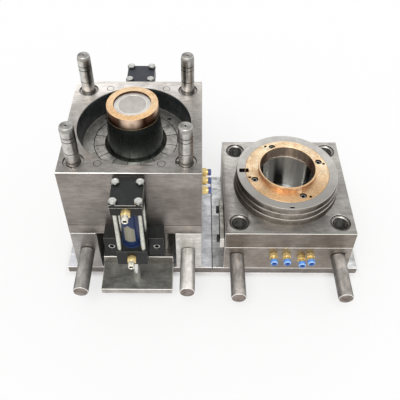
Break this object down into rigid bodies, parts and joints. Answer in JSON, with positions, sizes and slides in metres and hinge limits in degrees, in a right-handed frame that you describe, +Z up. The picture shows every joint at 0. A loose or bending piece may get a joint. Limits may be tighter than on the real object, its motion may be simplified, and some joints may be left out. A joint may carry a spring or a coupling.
{
  "type": "injection mould",
  "caption": "Open injection mould for a tapered pail: core half with guide pillars, rim segments and outside ejector cylinders, beside the cavity half.",
  "frame": {"origin": "on the floor under the axis of the core half, on the rest face of its clamping plate", "axes": "+Z up, the opening direction of both halves as they stand; +X from the core half to the cavity half; -Y the side of the support bars"},
  "size_m": [0.823, 0.5985, 0.5345],
  "materials": {
    "ground_steel": "ground",
    "hardened_steel": "fine ground",
    "polished_steel": "mirror polished",
    "copper_alloy": "turned and polished",
    "blackened_steel": "black oxide",
    "blue_paint": "gloss paint",
    "zinc_plate": "zinc plated",
    "brass": "turned",
    "spring_steel": "bright"
  },
  "bodies": {
    "core_half": {"core_clamp_plate": "ground_steel", "left_spacer": "ground_steel", "right_spacer": "ground_steel", "support_plate": "ground_steel", "core_clamp_screws": "blackened_steel", "core_plate": "ground_steel", "guide_pillars": "hardened_steel", "core_body": "polished_steel", "cooling_insert": "brass", "core_tip": "copper_alloy", "core_bolts": "blackened_steel", "wear_ring": "hardened_steel", "stop_buttons": "hardened_steel", "core_support_bars": "ground_steel", "core_fittings": "brass", "tie_bolts": "zinc_plate", "cylinder_screws": "blackened_steel", "cylinder_ports": "brass", "valve_spring": "spring_steel", "front_head_cap": "blackened_steel", "front_base_cap": "blackened_steel", "front_barrel": "blue_paint", "front_bracket": "blackened_steel", "front_saddle": "blackened_steel", "rear_head_cap": "blackened_steel", "rear_base_cap": "blackened_steel", "rear_barrel": "blue_paint", "rear_bracket": "blackened_steel", "rear_saddle": "blackened_steel"},
    "ejector": {"ejector_base_plate": "ground_steel", "ejector_retainer_plate": "ground_steel", "ejector_plate_screws": "blackened_steel", "return_pins": "hardened_steel", "front_piston_rod": "hardened_steel", "rear_piston_rod": "hardened_steel", "rod_nuts": "zinc_plate"},
    "segment_1": {"segment_1": "hardened_steel"},
    "segment_2": {"segment_2": "hardened_steel"},
    "segment_3": {"segment_3": "hardened_steel"},
    "segment_4": {"segment_4": "hardened_steel"},
    "segment_5": {"segment_5": "hardened_steel"},
    "segment_6": {"segment_6": "hardened_steel"},
    "segment_7": {"segment_7": "hardened_steel"},
    "segment_8": {"segment_8": "hardened_steel"},
    "air_valve": {"air_valve": "hardened_steel", "valve_nut": "blackened_steel"},
    "cavity_half": {"cavity_clamp_plate": "ground_steel", "cavity_back_plate": "ground_steel", "cavity_clamp_screws": "blackened_steel", "cavity_plate": "ground_steel", "rim_ring": "copper_alloy", "rim_ring_screws": "blackened_steel", "cavity_sleeve": "polished_steel", "gate_insert": "hardened_steel", "sprue_bush": "hardened_steel", "guide_bushes": "hardened_steel", "cavity_support_bars": "ground_steel", "cavity_fittings": "brass", "strap_bolts": "blackened_steel"},
    "lock_strap": {"lock_strap": "ground_steel"}
  },
  "joints": [
    {"name": "ejector_slide", "type": "slide", "parent": "core_half", "child": "ejector", "axis": [0, 0, 1], "range_m": [0, 0.06]},
    {"name": "segment_1_lift", "type": "slide", "parent": "core_half", "child": "segment_1", "axis": [-0.1695, -0.0376, 0.9848], "range_m": [0, 0.061]},
    {"name": "segment_2_lift", "type": "slide", "parent": "core_half", "child": "segment_2", "axis": [-0.0933, -0.1465, 0.9848], "range_m": [0, 0.061]},
    {"name": "segment_3_lift", "type": "slide", "parent": "core_half", "child": "segment_3", "axis": [0.0376, -0.1695, 0.9848], "range_m": [0, 0.061]},
    {"name": "segment_4_lift", "type": "slide", "parent": "core_half", "child": "segment_4", "axis": [0.1465, -0.0933, 0.9848], "range_m": [0, 0.061]},
    {"name": "segment_5_lift", "type": "slide", "parent": "core_half", "child": "segment_5", "axis": [0.1695, 0.0376, 0.9848], "range_m": [0, 0.061]},
    {"name": "segment_6_lift", "type": "slide", "parent": "core_half", "child": "segment_6", "axis": [0.0933, 0.1465, 0.9848], "range_m": [0, 0.061]},
    {"name": "segment_7_lift", "type": "slide", "parent": "core_half", "child": "segment_7", "axis": [-0.0376, 0.1695, 0.9848], "range_m": [0, 0.061]},
    {"name": "segment_8_lift", "type": "slide", "parent": "core_half", "child": "segment_8", "axis": [-0.1465, 0.0933, 0.9848], "range_m": [0, 0.061]},
    {"name": "air_valve_slide", "type": "slide", "parent": "core_half", "child": "air_valve", "axis": [0, 0, 1], "range_m": [0, 0.003], "stiffness_N_per_m": 3000, "springref_m": -0.005, "deforming": ["valve_spring"]},
    {"name": "cavity_half_lift", "type": "slide", "parent": "core_half", "child": "cavity_half", "axis": [0, 0, 1], "range_m": [0, 0.25]},
    {"name": "lock_strap_swing", "type": "hinge", "parent": "cavity_half", "child": "lock_strap", "pos_m": [0.2312, -0.059, 0.142], "axis": [-1, 0, 0], "range_deg": [0, 90]}
  ],
  "couplings": [
    {"joint": "segment_1_lift", "follows": "ejector_slide", "ratio": 1.0154},
    {"joint": "segment_2_lift", "follows": "ejector_slide", "ratio": 1.0154},
    {"joint": "segment_3_lift", "follows": "ejector_slide", "ratio": 1.0154},
    {"joint": "segment_4_lift", "follows": "ejector_slide", "ratio": 1.0154},
    {"joint": "segment_5_lift", "follows": "ejector_slide", "ratio": 1.0154},
    {"joint": "segment_6_lift", "follows": "ejector_slide", "ratio": 1.0154},
    {"joint": "segment_7_lift", "follows": "ejector_slide", "ratio": 1.0154},
    {"joint": "segment_8_lift", "follows": "ejector_slide", "ratio": 1.0154}
  ]
}
